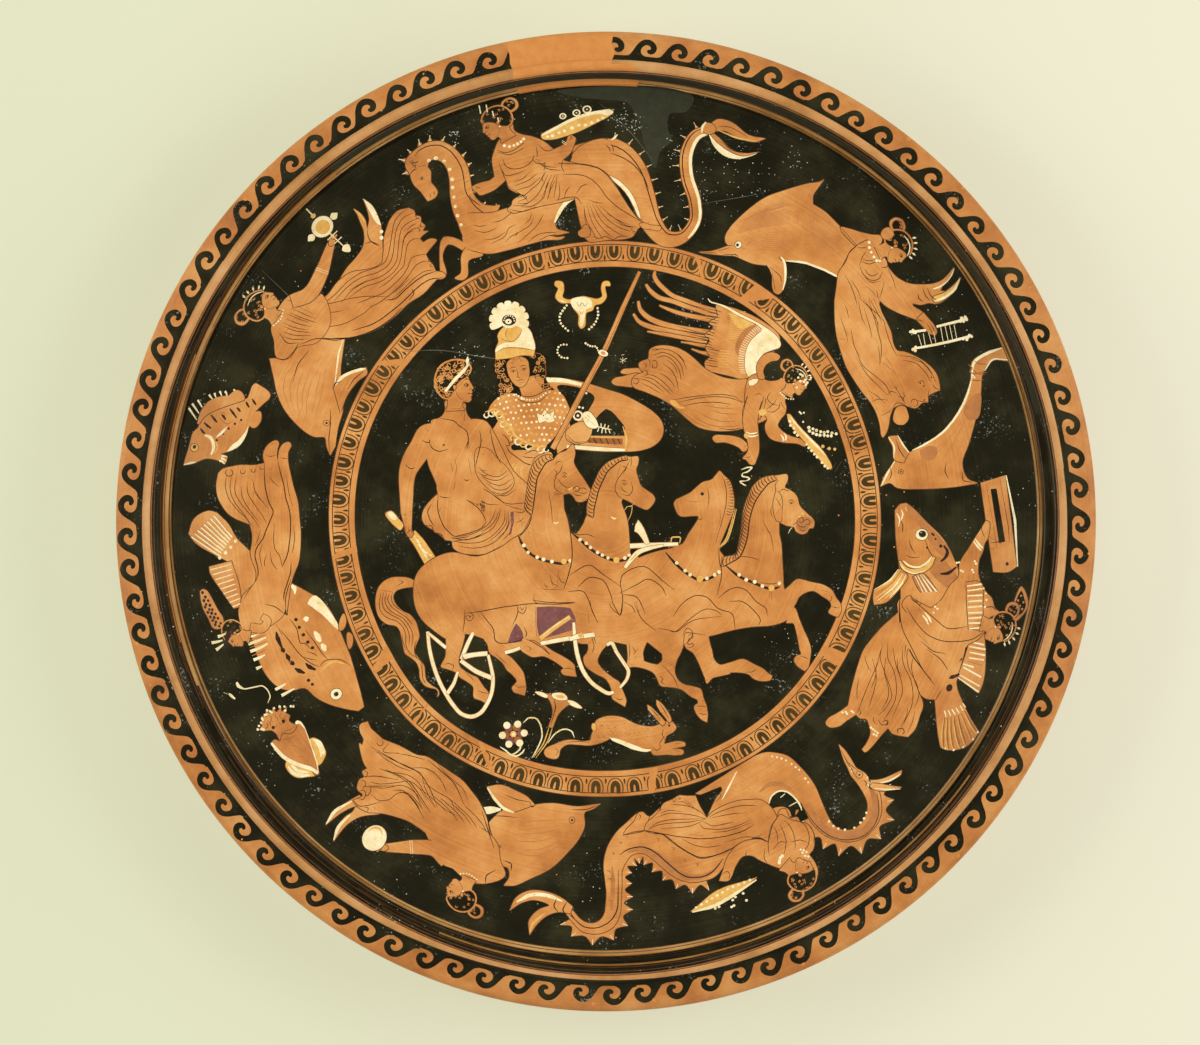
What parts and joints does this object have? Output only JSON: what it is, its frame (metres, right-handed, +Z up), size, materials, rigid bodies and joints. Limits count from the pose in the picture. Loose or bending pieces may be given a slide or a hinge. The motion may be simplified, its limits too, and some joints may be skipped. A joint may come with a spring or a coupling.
{
  "type": "pottery plate",
  "caption": "Large shallow round plate of fired clay on a moulded ring foot, with a dished painted floor, a hollow wall, a ridge and a narrow lip.",
  "frame": {"origin": "middle of the plane that the ring foot stands on", "axes": "+Z up along the axis that the plate was turned on, through its painted face; +Y towards the top of the picture in the middle; +X to the right of that picture"},
  "size_m": [0.7, 0.7, 0.0761],
  "materials": {
    "fired_clay": "satin"
  },
  "bodies": {
    "root": {"plate": "fired_clay"}
  },
  "joints": []
}
